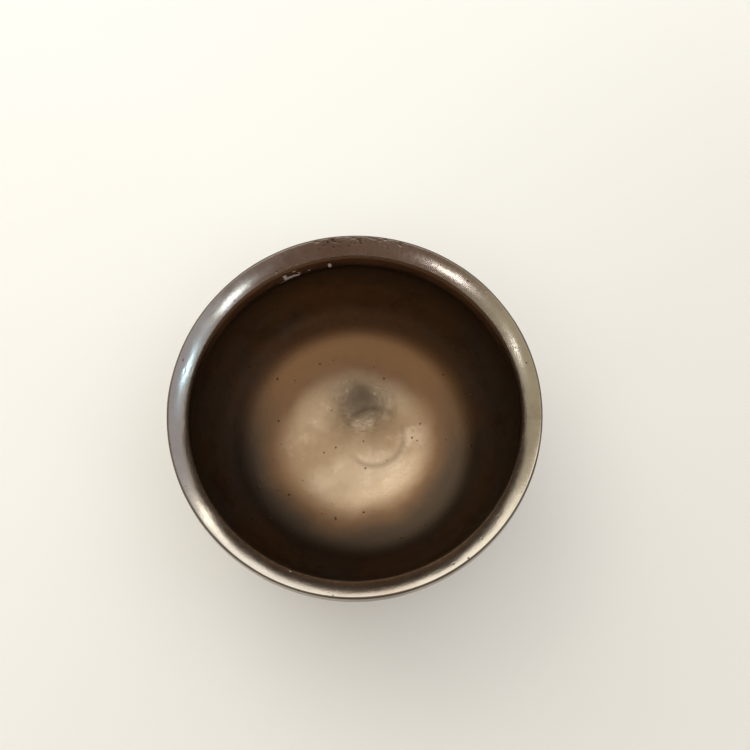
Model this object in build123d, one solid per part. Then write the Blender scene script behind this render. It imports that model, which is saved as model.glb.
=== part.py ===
from build123d import *

import math
import os

# A standing bell, struck or rubbed on its lip: one turned wall of bell metal.
# Millimetres, +Z up. The origin is the centre of the flat base.

# Driving dimensions
LIP_DIAMETER = 100.0  # across the arris, the sharp outer edge of the lip
HEIGHT = 53.0  # base to arris, which is the highest circle
BAND_ROUND = 25.0  # profile radius of the polished band that falls inwards from the arris
MOUTH_RADIUS = 45.2  # the narrowest circle of the mouth
MOUTH_ROUND = 3.0  # rounding between the band and the upright face of the mouth
MOUTH_DROP = 6.2  # from the arris down to where the mouth is upright
MOUTH_LAND = 3.4  # height of the upright face
ARRIS_ROUND = 0.45  # the arris is worn to this rounding
COLLAR_ROUND = 22.0  # profile radius of the collar, the lip's outer face
COLLAR_DROP = 5.2  # from the arris down to the collar's widest circle
SIDE_RADIUS = 50.3  # radius of the side where it is upright
SIDE_DROP = 8.0  # from the arris down to where the side is upright
SIDE_ROUND = 75.0  # profile radius of the side
GROOVE_DROP = 10.0  # from the arris down to the turned groove under the collar
GROOVE_ROUND = 0.8
GROOVE_DEPTH = 0.35
HEEL_ROUND = 30.0  # profile radius between side and flat base
WALL = 3.0  # thickness of the side below the lip
UNDERLIP_ROUND = 3.0  # the lip's lower inside corner
UNDERLIP_COVE = 8.0  # hollow that runs the lip out into the side
FLOOR_THICKNESS = 3.4  # at the axis
FLOOR_ROUND = 85.0  # profile radius of the dished floor
FLOOR_TURN = 20.0  # profile radius between floor and side, inside
CENTRE_MARK_RADIUS = 0.8  # the turner's centre mark in the floor
CENTRE_MARK_DEPTH = 0.3


def circle_centre(first, first_distance, second, second_distance):
    """The point at these distances from two points, on the right going from one to the other."""
    across, up = second[0] - first[0], second[1] - first[1]
    apart = math.hypot(across, up)
    along = (apart**2 + first_distance**2 - second_distance**2) / (2 * apart)
    off = math.sqrt(first_distance**2 - along**2)
    return (
        first[0] + (along * across + off * up) / apart,
        first[1] + (along * up - off * across) / apart,
    )


def bearing(centre, point):
    """Direction of the point from the centre, in degrees."""
    return math.degrees(math.atan2(point[1] - centre[1], point[0] - centre[0]))


def arc(centre, radius, start, end):
    """Arc about the centre between two bearings in degrees."""
    return CenterArc(centre, radius, start, end - start)


def outside_edges(arris, side_centre):
    """The outside from the axis to the arris: base, heel, side and collar."""
    heel_reach = SIDE_ROUND - HEEL_ROUND
    heel_rise = side_centre[1] - HEEL_ROUND
    heel_x = side_centre[0] + math.sqrt(heel_reach**2 - heel_rise**2)
    heel_centre = (heel_x, HEEL_ROUND)
    heel_end = bearing(side_centre, heel_centre)
    collar_lean = math.asin(COLLAR_DROP / COLLAR_ROUND)
    collar_centre = (
        arris[0] - COLLAR_ROUND * math.cos(collar_lean),
        arris[1] - COLLAR_DROP,
    )
    seam_height = arris[1] - GROOVE_DROP
    side_seam = math.degrees(math.asin((seam_height - side_centre[1]) / SIDE_ROUND))
    collar_seam = math.degrees(math.asin((seam_height - collar_centre[1]) / COLLAR_ROUND))
    side = arc(side_centre, SIDE_ROUND, heel_end, side_seam)
    collar = arc(collar_centre, COLLAR_ROUND, collar_seam, math.degrees(collar_lean))
    return [
        Line((0, 0), (heel_x, 0)),
        arc(heel_centre, HEEL_ROUND, -90, heel_end),
        side,
        Line(side @ 1, collar @ 0),
        collar,
    ]


def lip_edges(arris, land_foot):
    """The lip's inside from the arris down to the foot of its upright face."""
    mouth_centre = (MOUTH_RADIUS + MOUTH_ROUND, HEIGHT - MOUTH_DROP)
    band_centre = circle_centre(mouth_centre, BAND_ROUND - MOUTH_ROUND, arris, BAND_ROUND)
    band_start = bearing(band_centre, arris)
    band_end = bearing(band_centre, mouth_centre)
    return [
        arc(band_centre, BAND_ROUND, band_start, band_end),
        arc(mouth_centre, MOUTH_ROUND, band_end, 180),
        Line((MOUTH_RADIUS, mouth_centre[1]), (MOUTH_RADIUS, land_foot)),
    ]


def inside_edges(side_centre, land_foot):
    """The inside from the foot of the lip to the axis: underlip, side and floor."""
    corner_centre = (MOUTH_RADIUS + UNDERLIP_ROUND, land_foot)
    inner_round = SIDE_ROUND - WALL
    cove_centre = circle_centre(
        side_centre,
        inner_round - UNDERLIP_COVE,
        corner_centre,
        UNDERLIP_ROUND + UNDERLIP_COVE,
    )
    floor_centre = (0, FLOOR_THICKNESS + FLOOR_ROUND)
    turn_centre = circle_centre(
        side_centre,
        inner_round - FLOOR_TURN,
        floor_centre,
        FLOOR_ROUND - FLOOR_TURN,
    )
    corner_end = bearing(corner_centre, cove_centre) + 360
    cove_end = bearing(side_centre, cove_centre)
    side_end = bearing(side_centre, turn_centre)
    turn_end = bearing(floor_centre, turn_centre)
    mark_edge = -math.degrees(math.acos(CENTRE_MARK_RADIUS / FLOOR_ROUND))
    floor = arc(floor_centre, FLOOR_ROUND, turn_end, mark_edge)
    mark_bottom = (0, (floor @ 1).Y - CENTRE_MARK_DEPTH)
    return [
        arc(corner_centre, UNDERLIP_ROUND, 180, corner_end),
        arc(cove_centre, UNDERLIP_COVE, corner_end - 180, cove_end),
        arc(side_centre, inner_round, cove_end, side_end),
        arc(turn_centre, FLOOR_TURN, side_end, turn_end),
        floor,
        Line(floor @ 1, mark_bottom),
        Line(mark_bottom, (0, 0)),
    ]


def bowl():
    """The bowl: its half section turned about the axis, with the groove cut in."""
    arris = (LIP_DIAMETER / 2, HEIGHT)
    side_centre = (SIDE_RADIUS - SIDE_ROUND, HEIGHT - SIDE_DROP)
    land_foot = HEIGHT - MOUTH_DROP - MOUTH_LAND
    outside = outside_edges(arris, side_centre)
    inside = lip_edges(arris, land_foot) + inside_edges(side_centre, land_foot)
    section = make_face(outside + inside)
    arris_corner = section.vertices().sort_by_distance((*arris, 0))[0]
    section = fillet(arris_corner, ARRIS_ROUND)
    turned = revolve(Plane.XZ * section, Axis.Z)
    groove_radius = SIDE_RADIUS + GROOVE_ROUND - GROOVE_DEPTH
    groove = Torus(groove_radius, GROOVE_ROUND)
    return turned - Pos(0, 0, HEIGHT - GROOVE_DROP) * groove


os.makedirs("parts", exist_ok=True)
export_step(bowl(), "parts/bowl.step")
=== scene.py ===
import math
import random

import bpy
import numpy as np
from mathutils import Matrix, Vector, noise


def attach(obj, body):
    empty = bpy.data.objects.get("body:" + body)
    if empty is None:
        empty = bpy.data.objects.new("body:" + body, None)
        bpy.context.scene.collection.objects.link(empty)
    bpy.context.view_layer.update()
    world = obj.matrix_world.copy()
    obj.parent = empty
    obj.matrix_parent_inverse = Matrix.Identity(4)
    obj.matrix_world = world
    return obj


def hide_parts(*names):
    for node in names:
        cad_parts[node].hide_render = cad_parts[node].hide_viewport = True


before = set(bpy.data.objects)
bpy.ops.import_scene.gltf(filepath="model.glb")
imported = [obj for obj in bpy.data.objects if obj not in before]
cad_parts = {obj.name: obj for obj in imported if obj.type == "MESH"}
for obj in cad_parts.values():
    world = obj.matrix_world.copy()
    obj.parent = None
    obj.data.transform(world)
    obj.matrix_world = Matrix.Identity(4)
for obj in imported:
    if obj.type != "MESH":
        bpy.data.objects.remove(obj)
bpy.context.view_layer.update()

# A standing bell of turned bell metal. Metres, +Z up, the bowl's axis on Z.

MM = 0.001

# The half section, from the same driving dimensions as the part
HEIGHT = 53.0 * MM
LIP_RADIUS = 50.0 * MM
BAND_ROUND = 25.0 * MM
MOUTH_RADIUS = 45.2 * MM
MOUTH_ROUND = 3.0 * MM
MOUTH_DROP = 6.2 * MM
MOUTH_LAND = 3.4 * MM
ARRIS_ROUND = 0.45 * MM
COLLAR_ROUND = 22.0 * MM
COLLAR_DROP = 5.2 * MM
SIDE_RADIUS = 50.3 * MM
SIDE_DROP = 8.0 * MM
SIDE_ROUND = 75.0 * MM
GROOVE_DROP = 10.0 * MM
GROOVE_ROUND = 0.8 * MM
GROOVE_DEPTH = 0.35 * MM
HEEL_ROUND = 30.0 * MM
WALL = 3.0 * MM
UNDERLIP_ROUND = 3.0 * MM
UNDERLIP_COVE = 8.0 * MM
FLOOR_THICKNESS = 3.4 * MM
FLOOR_ROUND = 85.0 * MM
FLOOR_TURN = 20.0 * MM

# Centres of the arcs that more than one stretch of the section needs
COLLAR_LEAN = math.asin(COLLAR_DROP / COLLAR_ROUND)
COLLAR_CENTRE = (LIP_RADIUS - COLLAR_ROUND * math.cos(COLLAR_LEAN), HEIGHT - COLLAR_DROP)
SIDE_CENTRE = (SIDE_RADIUS - SIDE_ROUND, HEIGHT - SIDE_DROP)
GROOVE_CENTRE = (SIDE_RADIUS + GROOVE_ROUND - GROOVE_DEPTH, HEIGHT - GROOVE_DROP)

SEGMENTS = 560  # steps round the axis

# How far the surface strays from the true section
WAVE = 0.12 * MM  # slow unevenness of the lip
RIPPLE = 0.06 * MM  # a quicker one on top of it
CHIP_DEPTH = 0.35 * MM  # of a dent of depth 1, where bare metal shows
PIT_DEPTH = 0.14 * MM  # of a dent of depth 1, where it is only a pit

LIP_CENTRE = Vector((0, 0, HEIGHT))

# Where the camera stands: bearings count from +X towards +Y, tilts from straight up
CAMERA_DISTANCE = 213.1 * MM
CAMERA_TILT = 15.3
CAMERA_BEARING = -85.75
CAMERA_AIM = Vector((5.3 * MM, 8.1 * MM, HEIGHT))
CAMERA_LENS = 38.4
SENSOR = 36.0


# ---------------------------------------------------------------- the section


def meeting(first, first_distance, second, second_distance):
    """The point at these distances from two points, on the right of the way from one to the other."""
    across, up = second[0] - first[0], second[1] - first[1]
    apart = math.hypot(across, up)
    along = (apart**2 + first_distance**2 - second_distance**2) / (2 * apart)
    off = math.sqrt(first_distance**2 - along**2)
    return (
        first[0] + (along * across + off * up) / apart,
        first[1] + (along * up - off * across) / apart,
    )


def bearing(centre, point):
    """Direction of the point from the centre, in radians."""
    return math.atan2(point[1] - centre[1], point[0] - centre[0])


def arc(centre, radius, start, end, steps):
    """Points and outward normals along an arc of the section, the first point left out."""
    side = 1 if end < start else -1
    rows = []
    for k in range(1, steps + 1):
        angle = start + (end - start) * k / steps
        x, y = math.cos(angle), math.sin(angle)
        rows.append((centre[0] + radius * x, centre[1] + radius * y, side * x, side * y))
    return rows


def run(start, end, normal, steps):
    """Points along a straight stretch of the section, the first point left out."""
    rows = []
    for k in range(1, steps + 1):
        x = start[0] + (end[0] - start[0]) * k / steps
        y = start[1] + (end[1] - start[1]) * k / steps
        rows.append((x, y, *normal))
    return rows


def inside_section():
    """Floor, turn, side, cove, underlip corner and land, from the axis up to the mouth."""
    inner_round = SIDE_ROUND - WALL
    land_top = HEIGHT - MOUTH_DROP
    land_foot = land_top - MOUTH_LAND
    corner_centre = (MOUTH_RADIUS + UNDERLIP_ROUND, land_foot)
    cove_centre = meeting(
        SIDE_CENTRE, inner_round - UNDERLIP_COVE, corner_centre, UNDERLIP_ROUND + UNDERLIP_COVE
    )
    floor_centre = (0, FLOOR_THICKNESS + FLOOR_ROUND)
    turn_centre = meeting(
        SIDE_CENTRE, inner_round - FLOOR_TURN, floor_centre, FLOOR_ROUND - FLOOR_TURN
    )
    corner_end = bearing(corner_centre, cove_centre) + math.tau
    cove_end = bearing(SIDE_CENTRE, cove_centre)
    side_end = bearing(SIDE_CENTRE, turn_centre)
    turn_end = bearing(floor_centre, turn_centre)
    down = -math.pi / 2
    return [
        ("floor", arc(floor_centre, FLOOR_ROUND, down, turn_end, 26)),
        ("turn", arc(turn_centre, FLOOR_TURN, turn_end, side_end, 12)),
        ("inner_side", arc(SIDE_CENTRE, inner_round, side_end, cove_end, 16)),
        ("cove", arc(cove_centre, UNDERLIP_COVE, cove_end, corner_end - math.pi, 6)),
        ("corner", arc(corner_centre, UNDERLIP_ROUND, corner_end, math.pi, 6)),
        ("land", run((MOUTH_RADIUS, land_foot), (MOUTH_RADIUS, land_top), (-1, 0), 7)),
    ]


def lip_section():
    """Mouth rounding, band, arris and collar, from the mouth over the lip to the groove."""
    mouth_centre = (MOUTH_RADIUS + MOUTH_ROUND, HEIGHT - MOUTH_DROP)
    band_centre = meeting(
        mouth_centre, BAND_ROUND - MOUTH_ROUND, (LIP_RADIUS, HEIGHT), BAND_ROUND
    )
    arris_centre = meeting(
        band_centre, BAND_ROUND - ARRIS_ROUND, COLLAR_CENTRE, COLLAR_ROUND - ARRIS_ROUND
    )
    mouth_end = bearing(band_centre, mouth_centre)
    band_end = bearing(band_centre, arris_centre)
    groove_top = meeting(GROOVE_CENTRE, GROOVE_ROUND, COLLAR_CENTRE, COLLAR_ROUND)
    collar_start = bearing(COLLAR_CENTRE, arris_centre)
    collar_end = bearing(COLLAR_CENTRE, groove_top)
    return [
        ("mouth", arc(mouth_centre, MOUTH_ROUND, math.pi, mouth_end, 12)),
        ("band", arc(band_centre, BAND_ROUND, mouth_end, band_end, 22)),
        ("arris", arc(arris_centre, ARRIS_ROUND, band_end, collar_start, 8)),
        ("collar", arc(COLLAR_CENTRE, COLLAR_ROUND, collar_start, collar_end, 14)),
    ]


def outside_section():
    """Groove, side, heel and base, from the collar down to the axis."""
    groove_top = meeting(GROOVE_CENTRE, GROOVE_ROUND, COLLAR_CENTRE, COLLAR_ROUND)
    groove_foot = meeting(SIDE_CENTRE, SIDE_ROUND, GROOVE_CENTRE, GROOVE_ROUND)
    heel_rise = SIDE_CENTRE[1] - HEEL_ROUND
    heel_x = SIDE_CENTRE[0] + math.sqrt((SIDE_ROUND - HEEL_ROUND) ** 2 - heel_rise**2)
    heel_centre = (heel_x, HEEL_ROUND)
    heel_end = bearing(SIDE_CENTRE, heel_centre)
    groove_start = bearing(GROOVE_CENTRE, groove_top)
    groove_end = bearing(GROOVE_CENTRE, groove_foot) + math.tau
    side_start = bearing(SIDE_CENTRE, groove_foot)
    down = -math.pi / 2
    return [
        ("groove", arc(GROOVE_CENTRE, GROOVE_ROUND, groove_start, groove_end, 6)),
        ("side", arc(SIDE_CENTRE, SIDE_ROUND, side_start, heel_end, 16)),
        ("heel", arc(heel_centre, HEEL_ROUND, heel_end, down, 10)),
        ("base", run((heel_x, 0), (0, 0), (0, -1), 5)),
    ]


def section():
    """All rings from the middle of the floor to the middle of the base, with where each stretch ends."""
    rows = [(0, FLOOR_THICKNESS, 0, 1, 0)]
    ends = {}
    for name, stretch in inside_section() + lip_section() + outside_section():
        for x, y, across, up in stretch:
            step = math.hypot(x - rows[-1][0], y - rows[-1][1])
            rows.append((x, y, across, up, rows[-1][4] + step))
        ends[name] = rows[-1][4]
    return np.array(rows), ends


# ---------------------------------------------------------------- the mesh


def smooth(value, low, high):
    """0 below low, 1 above high, and a smooth rise between them."""
    t = np.clip((value - low) / (high - low), 0, 1)
    return t * t * (3 - 2 * t)


def wobble(turn, along, around, across, seed):
    """Slow noise on the lathe's own coordinates, with no seam where the turn closes."""
    out = np.empty(turn.size)
    for k, (angle, place) in enumerate(zip(turn.ravel(), along.ravel())):
        point = (math.cos(angle) * around + seed, math.sin(angle) * around - seed, place * across)
        out[k] = noise.noise(point)
    return out.reshape(turn.shape)


def dents(turn, radius, along, spots):
    """How deep each place lies in a set of soft-edged dents, from 0 to each dent's own depth."""
    out = np.zeros(turn.shape)
    for heading, place, wide, high, depth in spots:
        away = np.angle(np.exp(1j * (turn - math.radians(heading)))) * radius
        reach = np.hypot(away / wide, (along - place) / high)
        out = np.maximum(out, depth * smooth(-reach, -1.0, -0.35))
    return out


def scatter(rng, count, headings, places, wide, high, depth):
    """Random dents between two headings and two places along the profile, sizes in millimetres."""
    spots = []
    for _ in range(count):
        size = rng.uniform(0.5, 1.0)
        spots.append((
            rng.uniform(*headings),
            rng.uniform(*places),
            wide * MM * size,
            high * MM * rng.uniform(0.6, 1.0),
            depth * size,
        ))
    return spots


def chip_spots():
    """The ragged chip and the scratch under the lip, where bare metal shows."""
    rng = random.Random(8)
    corner = ENDS["corner"]
    spots = scatter(rng, 16, (111.5, 119.5), (corner - 1.6 * MM, corner + 2.8 * MM), 1.2, 0.8, 1.0)
    spots += scatter(rng, 4, (107, 113), (corner - 0.5 * MM, corner + 1.0 * MM), 0.9, 0.5, 0.7)
    return spots + [(100, corner + 0.4 * MM, 0.45 * MM, 2.6 * MM, 0.8)]


def pit_spots():
    """Casting pits on the band, the wall and the side, and the nicks on the arris."""
    rng = random.Random(21)
    mouth, arris = ENDS["mouth"], ENDS["arris"]
    spots = scatter(rng, 60, (74, 104), (arris - 3.6 * MM, arris - 1.0 * MM), 0.5, 0.4, 0.8)
    spots += scatter(rng, 26, (0, 360), (mouth, arris), 0.5, 0.4, 0.28)
    spots += scatter(rng, 44, (0, 360), (arris + 1 * MM, ENDS["heel"]), 1.1, 1.3, 0.6)
    spots += scatter(rng, 8, (0, 360), (34 * MM, 62 * MM), 1.2, 1.5, 0.5)
    return spots + [(-40, arris, 0.9 * MM, 0.9 * MM, 2.2), (-126, arris, 0.7 * MM, 0.8 * MM, 1.8)]


def lathe_faces(count):
    """Quads between the rings, with a fan of triangles about the first point and about the last."""
    faces = []
    last_ring = 1 + (count - 1) * SEGMENTS
    last = 1 + count * SEGMENTS
    for here in range(SEGMENTS):
        after = (here + 1) % SEGMENTS
        faces.append((0, 1 + here, 1 + after))
        for k in range(count - 1):
            near, far = 1 + k * SEGMENTS, 1 + (k + 1) * SEGMENTS
            faces.append((near + here, far + here, far + after, near + after))
        faces.append((last_ring + here, last, last_ring + after))
    return faces


def lathe_mesh(rows):
    """The section turned about the axis, a little uneven, chipped and pitted, with its attributes."""
    body = rows[1:-1]
    angles = np.linspace(0, math.tau, SEGMENTS, endpoint=False)
    turn, radius = np.meshgrid(angles, body[:, 0])
    height = np.repeat(body[:, 1:2], SEGMENTS, axis=1)
    along = np.repeat(body[:, 4:5], SEGMENTS, axis=1)
    lip = smooth(along, ENDS["cove"], ENDS["land"]) * smooth(-along, -ENDS["groove"], -ENDS["arris"])
    bare = dents(turn, radius, along, chip_spots())
    bare = bare * (0.75 + 0.5 * wobble(turn, along, 60.0, 1500, 5.5))
    pits = dents(turn, radius, along, pit_spots())
    push = WAVE * (wobble(turn, along, 1.6, 60, 3.1) - 0.6) * lip
    push += RIPPLE * (wobble(turn, along, 6.0, 200, 9.7) - 0.5) * lip
    push -= CHIP_DEPTH * bare + PIT_DEPTH * pits
    radius = radius + push * body[:, 2:3]
    height = height + push * body[:, 3:4]
    rings = np.stack([radius * np.cos(turn), radius * np.sin(turn), height], axis=-1)
    points = [(0, 0, rows[0][1])] + rings.reshape(-1, 3).tolist() + [(0, 0, rows[-1][1])]
    mesh = bpy.data.meshes.new("turned_bowl")
    mesh.from_pydata(points, [], lathe_faces(len(body)))

    # What the material reads: millimetres along the section, bare metal, pits, the lathe's coordinates
    along_all = np.concatenate([[0], along.ravel(), [rows[-1][4]]]) / MM
    turn_all = np.concatenate([[0], turn.ravel(), [0]])
    values = {
        "along": along_all,
        "bare": np.concatenate([[0], bare.ravel(), [0]]),
        "pits": np.concatenate([[0], pits.ravel(), [0]]),
    }
    for name, value in values.items():
        mesh.attributes.new(name, "FLOAT", "POINT").data.foreach_set("value", value)
    brush = np.stack([np.cos(turn_all), np.sin(turn_all), along_all], axis=-1)
    mesh.attributes.new("brush", "FLOAT_VECTOR", "POINT").data.foreach_set("vector", brush.ravel())
    mesh.polygons.foreach_set("use_smooth", [True] * len(mesh.polygons))
    mesh.update()
    return mesh


# ---------------------------------------------------------------- materials


class Shader:
    """Shorthand for building a node tree."""

    def __init__(self, tree):
        self.tree = tree

    def node(self, kind, **settings):
        """A new node with these properties."""
        made = self.tree.nodes.new(kind)
        for name, value in settings.items():
            setattr(made, name, value)
        return made

    def join(self, value, socket):
        """Links a socket, or sets a plain value."""
        if isinstance(value, bpy.types.NodeSocket):
            self.tree.links.new(value, socket)
        else:
            socket.default_value = value

    def attribute(self, name, output="Fac"):
        """One of the mesh's own attributes."""
        return self.node("ShaderNodeAttribute", attribute_name=name).outputs[output]

    def math(self, operation, first, second=0.0, third=0.0):
        made = self.node("ShaderNodeMath", operation=operation)
        self.join(first, made.inputs[0])
        self.join(second, made.inputs[1])
        self.join(third, made.inputs[2])
        return made.outputs[0]

    def scaled(self, vector, scale):
        made = self.node("ShaderNodeVectorMath", operation="MULTIPLY")
        self.join(vector, made.inputs[0])
        self.join(scale, made.inputs[1])
        return made.outputs[0]

    def noise(self, vector, scale, detail=3.0, rough=0.55):
        made = self.node("ShaderNodeTexNoise")
        self.join(vector, made.inputs["Vector"])
        made.inputs["Scale"].default_value = scale
        made.inputs["Detail"].default_value = detail
        made.inputs["Roughness"].default_value = rough
        return made.outputs["Fac"]

    def cells(self, vector, scale):
        """Distance to the nearest of a scatter of points."""
        made = self.node("ShaderNodeTexVoronoi")
        self.join(vector, made.inputs["Vector"])
        made.inputs["Scale"].default_value = scale
        return made.outputs["Distance"]

    def ramp(self, value, low, high, low_to=0.0, high_to=1.0):
        """A smooth change from one number to another, while the value goes from low to high."""
        made = self.node("ShaderNodeMapRange", interpolation_type="SMOOTHSTEP")
        self.join(value, made.inputs["Value"])
        made.inputs["From Min"].default_value = low
        made.inputs["From Max"].default_value = high
        made.inputs["To Min"].default_value = low_to
        made.inputs["To Max"].default_value = high_to
        return made.outputs["Result"]

    def mix(self, factor, first, second):
        """A blend of two colours, from the first to the second."""
        made = self.node("ShaderNodeMix", data_type="RGBA")
        self.join(factor, made.inputs[0])
        self.join(first, made.inputs[6])
        self.join(second, made.inputs[7])
        return made.outputs[2]

    def blend(self, factor, first, second):
        """A blend of two numbers, from the first to the second."""
        made = self.node("ShaderNodeMix", data_type="FLOAT")
        self.join(factor, made.inputs[0])
        self.join(first, made.inputs[2])
        self.join(second, made.inputs[3])
        return made.outputs[0]

    def bump(self, height, strength, distance, under=None):
        """Fine relief, on top of another bump where one is given."""
        made = self.node("ShaderNodeBump")
        made.inputs["Strength"].default_value = strength
        made.inputs["Distance"].default_value = distance
        self.join(height, made.inputs["Height"])
        if under is not None:
            self.join(under, made.inputs["Normal"])
        return made.outputs["Normal"]


def new_material(name):
    """A material with its node shorthand and its main shader."""
    material = bpy.data.materials.new(name)
    material.use_nodes = True
    shader = Shader(material.node_tree)
    bsdf = material.node_tree.nodes["Principled BSDF"]
    return material, shader, bsdf


def floor_tan(s, place, cloud, mottle):
    """The lighter tan middle of the floor, with a faint broken ring of stain."""
    tan = s.mix(s.ramp(cloud, 0.36, 0.62), (0.27, 0.180, 0.103, 1), (0.42, 0.312, 0.205, 1))
    tan = s.mix(s.ramp(mottle, 0.50, 0.72, 0.0, 0.5), tan, (0.57, 0.44, 0.31, 1))
    flat = s.scaled(place, (1.0, 1.0, 0.0))
    from_ring = s.node("ShaderNodeVectorMath", operation="DISTANCE")
    s.join(flat, from_ring.inputs[0])
    from_ring.inputs[1].default_value = (5.2 * MM, 2.3 * MM, 0.0)
    off_ring = s.math("ABSOLUTE", s.math("SUBTRACT", from_ring.outputs["Value"], 9.5 * MM))
    line = s.ramp(off_ring, 0.0, 1.7 * MM, 0.5, 0.0)
    ring = s.math("MULTIPLY", line, s.ramp(mottle, 0.42, 0.60))
    return s.mix(ring, tan, (0.17, 0.11, 0.07, 1))


def floor_halo(s, mottle, spread, near_shade_far_light):
    """The brown round the tan; its outer rim rust-brown on the far side and painted dark with shade on
    the near side.
    """
    halo = s.mix(mottle, (0.125, 0.066, 0.032, 1), (0.215, 0.126, 0.068, 1))
    # Painted shade: the rim of the halo darkens on the near side
    lit_far_side = s.ramp(near_shade_far_light, -0.01, 0.028)
    rim_of_halo = s.mix(lit_far_side, (0.066, 0.046, 0.031, 1), (0.185, 0.100, 0.048, 1))
    return s.mix(s.ramp(spread, 24.0, 33.0), halo, rim_of_halo)


def wall_patina_and_shade(s, along, cloud, mottle):
    """The dark patina inside the wall, with painted shade darkening it towards the lip's overhang."""
    wall = s.mix(s.ramp(cloud, 0.40, 0.60), (0.265, 0.240, 0.220, 1), (0.320, 0.225, 0.145, 1))
    wall = s.mix(s.ramp(mottle, 0.45, 0.75, 0.0, 0.7), wall, (0.19, 0.115, 0.070, 1))
    # Painted shade: darker towards the lip, under its overhang
    return s.mix(s.ramp(along, 52.0, 67.0), wall, (0.175, 0.140, 0.108, 1))


def land_patina_and_shade(s, mottle, near_shade_far_light):
    """The lip's upright face: red-brown patina on the far side, painted nearly black with shade on the
    near side.
    """
    land = s.mix(mottle, (0.34, 0.215, 0.150, 1), (0.50, 0.345, 0.250, 1))
    # Painted shade on the near side, the lit red-brown on the far side
    return s.mix(s.ramp(near_shade_far_light, 0.0, 0.036), (0.055, 0.040, 0.030, 1), land)


def band_polish(s, cloud, mottle, streaks):
    """The polished band, scratched across, with patches of tarnish."""
    polished = s.mix(streaks, (0.57, 0.525, 0.46, 1), (0.69, 0.635, 0.555, 1))
    polished = s.mix(s.ramp(mottle, 0.52, 0.74, 0.0, 0.5), polished, (0.40, 0.325, 0.25, 1))
    return s.mix(s.ramp(cloud, 0.50, 0.66, 0.0, 0.45), polished, (0.46, 0.36, 0.29, 1))


def outside_patina(s, along, side_start, cloud, mottle, rings):
    """The brown outside: dark patches, golden turning lines, and wear at the groove."""
    aged = s.mix(mottle, (0.17, 0.128, 0.092, 1), (0.38, 0.31, 0.225, 1))
    aged = s.mix(s.ramp(cloud, 0.52, 0.68, 0.0, 0.75), aged, (0.115, 0.078, 0.050, 1))
    aged = s.mix(s.ramp(rings, 0.46, 0.70, 0.0, 0.6), aged, (0.47, 0.375, 0.25, 1))
    above = s.ramp(along, side_start - 4.5, side_start - 0.5)
    below = s.ramp(along, side_start, side_start + 3.0, 1.0, 0.0)
    rubbed = s.math("MULTIPLY", above, below)
    rubbed = s.math("MULTIPLY", rubbed, s.ramp(mottle, 0.40, 0.62))
    return s.mix(rubbed, aged, (0.52, 0.43, 0.31, 1))


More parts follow.
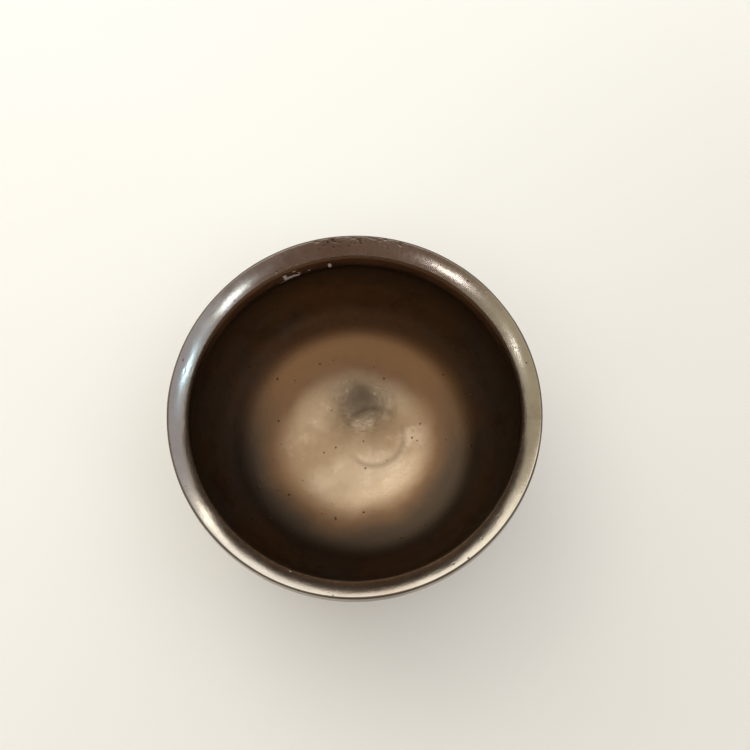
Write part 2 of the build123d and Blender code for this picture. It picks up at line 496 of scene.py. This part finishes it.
def bell_metal(ends):
    """Bell metal: polished band, dark patina inside with painted shade, a lighter tan floor, worn brown
    outside.
    """
    material, s, bsdf = new_material("bell_metal")
    brush = s.attribute("brush", "Vector")
    along = s.attribute("along")
    bare = s.attribute("bare")
    pits = s.attribute("pits")
    place = s.node("ShaderNodeTexCoord").outputs["Object"]
    cloud = s.noise(place, 32.0, 4.0, 0.55)
    mottle = s.noise(place, 110.0, 6.0, 0.62)
    fine = s.noise(place, 1100.0, 4.0, 0.6)
    rings = s.noise(s.scaled(brush, (4.0, 4.0, 5.0)), 1.0, 5.0, 0.7)
    streaks = s.noise(s.scaled(brush, (110.0, 110.0, 0.30)), 1.0, 5.0, 0.65)
    dots = s.ramp(s.cells(place, 330.0), 0.06, 0.15, 1.0, 0.0)
    specks = s.math("MULTIPLY", dots, s.ramp(s.noise(place, 260.0, 2.0), 0.50, 0.58))

    # Where the zones of the section start and end, in millimetres along it
    mouth = ends["mouth"] / MM
    land_foot = ends["corner"] / MM
    land_end = ends["land"] / MM
    arris = ends["arris"] / MM
    side_start = ends["groove"] / MM
    heel_end = ends["heel"] / MM

    edge = s.math("MULTIPLY_ADD", s.math("SUBTRACT", mottle, 0.5), 5.0, along)
    spread = s.math("MULTIPLY_ADD", s.math("SUBTRACT", cloud, 0.5), 12.0, edge)
    frayed = s.math("MULTIPLY_ADD", s.math("SUBTRACT", streaks, 0.5), 1.6, along)
    on_floor = s.ramp(spread, 16.5, 27.5, 1.0, 0.0)
    on_wall = s.ramp(edge, 37.0, 50.0)
    on_lip = s.ramp(edge, land_foot - 1.2, land_foot + 3.0)
    on_band = s.ramp(frayed, land_end + 0.7, mouth + 0.5)
    inside_arris = s.ramp(along, arris - 0.95, arris - 0.72, 1.0, 0.0)
    outside = s.ramp(along, arris - 0.95, arris - 0.72)
    # Painted shade: a dark line along the arris, so that its rounding does not mirror the bright ceiling
    painted_dark_arris = s.math("MULTIPLY", outside, s.ramp(along, arris - 0.1, arris + 0.5, 1.0, 0.0))
    brushed = s.math("MULTIPLY", on_band, inside_arris)

    split = s.node("ShaderNodeSeparateXYZ")
    s.join(place, split.inputs[0])
    # A near-to-far slope with some noise, which paints shade on the near side of the land and of the
    # halo's rim
    near_shade_far_light = s.math("MULTIPLY_ADD", s.math("SUBTRACT", cloud, 0.5), 0.03, split.outputs[1])
    tan = floor_tan(s, place, cloud, mottle)
    aged = outside_patina(s, along, side_start, cloud, mottle, rings)
    colour = s.mix(on_floor, floor_halo(s, mottle, spread, near_shade_far_light), tan)
    colour = s.mix(on_wall, colour, wall_patina_and_shade(s, along, cloud, mottle))
    colour = s.mix(on_lip, colour, land_patina_and_shade(s, mottle, near_shade_far_light))
    colour = s.mix(on_band, colour, band_polish(s, cloud, mottle, streaks))
    colour = s.mix(outside, colour, aged)
    # The painted shade along the arris
    colour = s.mix(s.math("MULTIPLY", painted_dark_arris, 0.8), colour, (0.07, 0.055, 0.043, 1))
    colour = s.mix(s.ramp(edge, heel_end - 2.0, heel_end + 1.0), colour, aged)
    colour = s.mix(s.math("MULTIPLY", specks, 0.7), colour, (0.045, 0.028, 0.018, 1))
    colour = s.mix(s.ramp(pits, 0.1, 0.7, 0.0, 0.8), colour, (0.05, 0.032, 0.022, 1))
    colour = s.mix(s.ramp(bare, 0.04, 0.30), colour, (0.78, 0.74, 0.69, 1))

    grain = s.blend(brushed, rings, streaks)
    rough = s.blend(on_floor, 0.40, 0.17)
    rough = s.blend(on_band, rough, 0.215)
    rough = s.blend(outside, rough, 0.34)
    depth = s.blend(on_floor, 0.22, 0.12)
    rough = s.math("MULTIPLY_ADD", s.math("SUBTRACT", grain, 0.5), depth, rough)
    rough = s.math("MULTIPLY_ADD", s.ramp(bare, 0.1, 0.5), 0.2, rough)

    tangent = s.node("ShaderNodeTangent", direction_type="RADIAL", axis="Z").outputs["Tangent"]
    normal = s.bump(grain, 0.14, 0.10 * MM)
    normal = s.bump(fine, 0.30, 0.06 * MM, normal)
    normal = s.bump(mottle, 0.18, 0.30 * MM, normal)
    normal = s.bump(specks, 0.6, -0.15 * MM, normal)

    s.join(colour, bsdf.inputs["Base Color"])
    s.join(rough, bsdf.inputs["Roughness"])
    s.join(normal, bsdf.inputs["Normal"])
    s.join(tangent, bsdf.inputs["Tangent"])
    s.join(s.ramp(bare, 0.04, 0.30, 1.0, 0.15), bsdf.inputs["Metallic"])
    bsdf.inputs["Anisotropic"].default_value = 0.55
    return material


def table_paint():
    """The pale top that the bowl stands on, with painted light: paler towards the far left, darker
    towards the near right.
    """
    material, s, bsdf = new_material("pale_table")
    place = s.node("ShaderNodeTexCoord").outputs["Object"]
    cloud = s.noise(place, 2.5, 3.0)
    grain = s.noise(place, 420.0, 4.0)
    split = s.node("ShaderNodeSeparateXYZ")
    s.join(place, split.inputs[0])
    # Painted light: a fall-off across the top, as from a window at the far left
    painted_falloff = s.math("MULTIPLY_ADD", split.outputs[0], -0.75, split.outputs[1])
    painted_falloff = s.math("MULTIPLY_ADD", s.math("SUBTRACT", cloud, 0.5), 0.06, painted_falloff)
    paint = s.mix(s.ramp(painted_falloff, -0.16, 0.16), (0.840, 0.820, 0.770, 1), (0.970, 0.965, 0.925, 1))
    s.join(paint, bsdf.inputs["Base Color"])
    s.join(s.bump(grain, 0.15, 0.20 * MM), bsdf.inputs["Normal"])
    s.join(s.ramp(cloud, 0.3, 0.7, 0.55, 0.65), bsdf.inputs["Roughness"])
    return material


# ---------------------------------------------------------------- the room


def towards(tilt, heading):
    """Unit vector that leans this far from straight up, towards this bearing, in degrees."""
    lean, turn = math.radians(tilt), math.radians(heading)
    return Vector((math.sin(lean) * math.cos(turn), math.sin(lean) * math.sin(turn), math.cos(lean)))


def softbox(name, tilt, heading, distance, size, colour, radiance):
    """A rectangular lamp that faces the bowl, with the brightness of its face given."""
    data = bpy.data.lights.new(name, "AREA")
    data.shape = "RECTANGLE"
    data.size, data.size_y = size
    data.color = colour
    data.energy = radiance * math.pi * size[0] * size[1]
    lamp = bpy.data.objects.new(name, data)
    bpy.context.scene.collection.objects.link(lamp)
    way = towards(tilt, heading)
    lamp.location = LIP_CENTRE + way * distance
    lamp.rotation_euler = way.to_track_quat("Z", "Y").to_euler()
    lamp.visible_camera = False
    return lamp


def stand_camera():
    """The camera, held above the near side of the bowl, with its picture upright along +Y."""
    data = bpy.data.cameras.new("camera")
    data.lens = CAMERA_LENS
    data.sensor_width = SENSOR
    data.clip_start = 0.01
    camera = bpy.data.objects.new("camera", data)
    bpy.context.scene.collection.objects.link(camera)
    way = towards(CAMERA_TILT, CAMERA_BEARING)
    eye = LIP_CENTRE + way * CAMERA_DISTANCE
    forward = (CAMERA_AIM - eye).normalized()
    right = forward.cross(Vector((0, 1, 0))).normalized()
    up = right.cross(forward)
    turned = Matrix((right, up, -forward)).transposed()
    camera.matrix_world = Matrix.Translation(eye) @ turned.to_4x4()
    bpy.context.scene.camera = camera


def light_world():
    """A pale ceiling over a dimmer room: lilac grey on the right, olive on the left, brown near."""
    world = bpy.data.worlds.new("room")
    bpy.context.scene.world = world
    world.use_nodes = True
    s = Shader(world.node_tree)
    out = world.node_tree.nodes["Background"]
    way = s.node("ShaderNodeTexCoord").outputs["Generated"]
    split = s.node("ShaderNodeSeparateXYZ")
    s.join(way, split.inputs[0])
    x, y, z = split.outputs
    sides = s.mix(s.ramp(x, -0.7, 0.7), (0.44, 0.39, 0.28, 1), (0.405, 0.39, 0.425, 1))
    near = s.ramp(y, -0.75, -0.25, 1.0, 0.0)
    room = s.mix(near, sides, (0.168, 0.105, 0.080, 1))
    ceiling = s.mix(s.ramp(y, -0.2, 0.65), (1.33, 1.31, 1.26, 1), (1.36, 1.34, 1.28, 1))
    room = s.mix(s.ramp(z, 0.60, 0.80), room, ceiling)

    # The camera sees a plain pale backdrop in place of the room
    seen = s.node("ShaderNodeLightPath").outputs["Is Camera Ray"]
    s.join(s.mix(seen, room, (0.95, 0.93, 0.89, 1)), out.inputs["Color"])
    out.inputs["Strength"].default_value = 1.0


def hold_card():
    """The dark card above the near side of the bowl, which its floor mirrors as a smudge."""
    wide, deep, thick = 32 * MM, 44 * MM, 4 * MM
    centre = Vector((-11 * MM, -16 * MM, 258 * MM))
    corners = [(x, y, z) for x in (-wide, wide) for y in (-deep, deep) for z in (-thick, thick)]
    faces = [(0, 1, 3, 2), (4, 6, 7, 5), (0, 4, 5, 1), (2, 3, 7, 6), (0, 2, 6, 4), (1, 5, 7, 3)]
    mesh = bpy.data.meshes.new("card")
    mesh.from_pydata([centre + Vector(corner) for corner in corners], [], faces)
    card = bpy.data.objects.new("card", mesh)
    bpy.context.scene.collection.objects.link(card)
    material, s, bsdf = new_material("dark_card")
    place = s.node("ShaderNodeTexCoord").outputs["Object"]
    black = s.mix(s.noise(place, 60.0), (0.010, 0.005, 0.005, 1), (0.026, 0.014, 0.013, 1))
    s.join(black, bsdf.inputs["Base Color"])
    mesh.materials.append(material)
    card.visible_camera = False


def lay_floor():
    """The table top: a disc of rings that lie closer together towards the bowl."""
    size = 3.0
    steps, ring = 12, 96
    points, faces = [(0, 0, 0)], []
    for k in range(1, steps + 1):
        radius = size * (k / steps) ** 2
        for n in range(ring):
            angle = math.tau * n / ring
            points.append((radius * math.cos(angle), radius * math.sin(angle), 0))
    for n in range(ring):
        after = (n + 1) % ring
        faces.append((0, 1 + n, 1 + after))
        for k in range(steps - 1):
            near, far = 1 + k * ring, 1 + (k + 1) * ring
            faces.append((near + n, far + n, far + after, near + after))
    mesh = bpy.data.meshes.new("table_top")
    mesh.from_pydata(points, [], faces)
    floor = bpy.data.objects.new("table_top", mesh)
    bpy.context.scene.collection.objects.link(floor)
    floor.data.materials.append(table_paint())
    floor.location.z = -0.05 * MM  # just clear of the bowl's base


# ---------------------------------------------------------------- the scene

ROWS, ENDS = section()
bowl = bpy.data.objects.new("turned_bowl", lathe_mesh(ROWS))
bpy.context.scene.collection.objects.link(bowl)
bowl.data.materials.append(bell_metal(ENDS))
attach(bowl, "root")
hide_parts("bowl")

lay_floor()
stand_camera()
light_world()
hold_card()
softbox("far_window", 82, 97, 1.6, (2.9, 0.55), (1.0, 0.985, 0.93), 1.05)
softbox("far_left_sky", 52, 128, 1.2, (0.9, 0.9), (1.0, 0.99, 0.95), 1.2)
softbox("near_right_lamp", 74, -31.5, 1.5, (0.28, 0.15), (0.80, 0.93, 1.0), 7.0)
softbox("near_left_lamp", 73, -134.4, 1.5, (0.28, 0.15), (0.97, 0.98, 1.0), 7.0)
softbox("right_lamp", 80.4, 1.6, 1.5, (0.20, 0.09), (0.50, 0.80, 1.0), 13.0)
softbox("left_lamp", 80.5, -174.1, 1.5, (0.12, 0.08), (0.97, 0.98, 1.0), 8.0)
softbox("far_right_lamp", 85, 51.2, 1.5, (0.09, 0.16), (1.0, 0.95, 0.80), 10.0)
bpy.context.scene.view_settings.view_transform = "Standard"
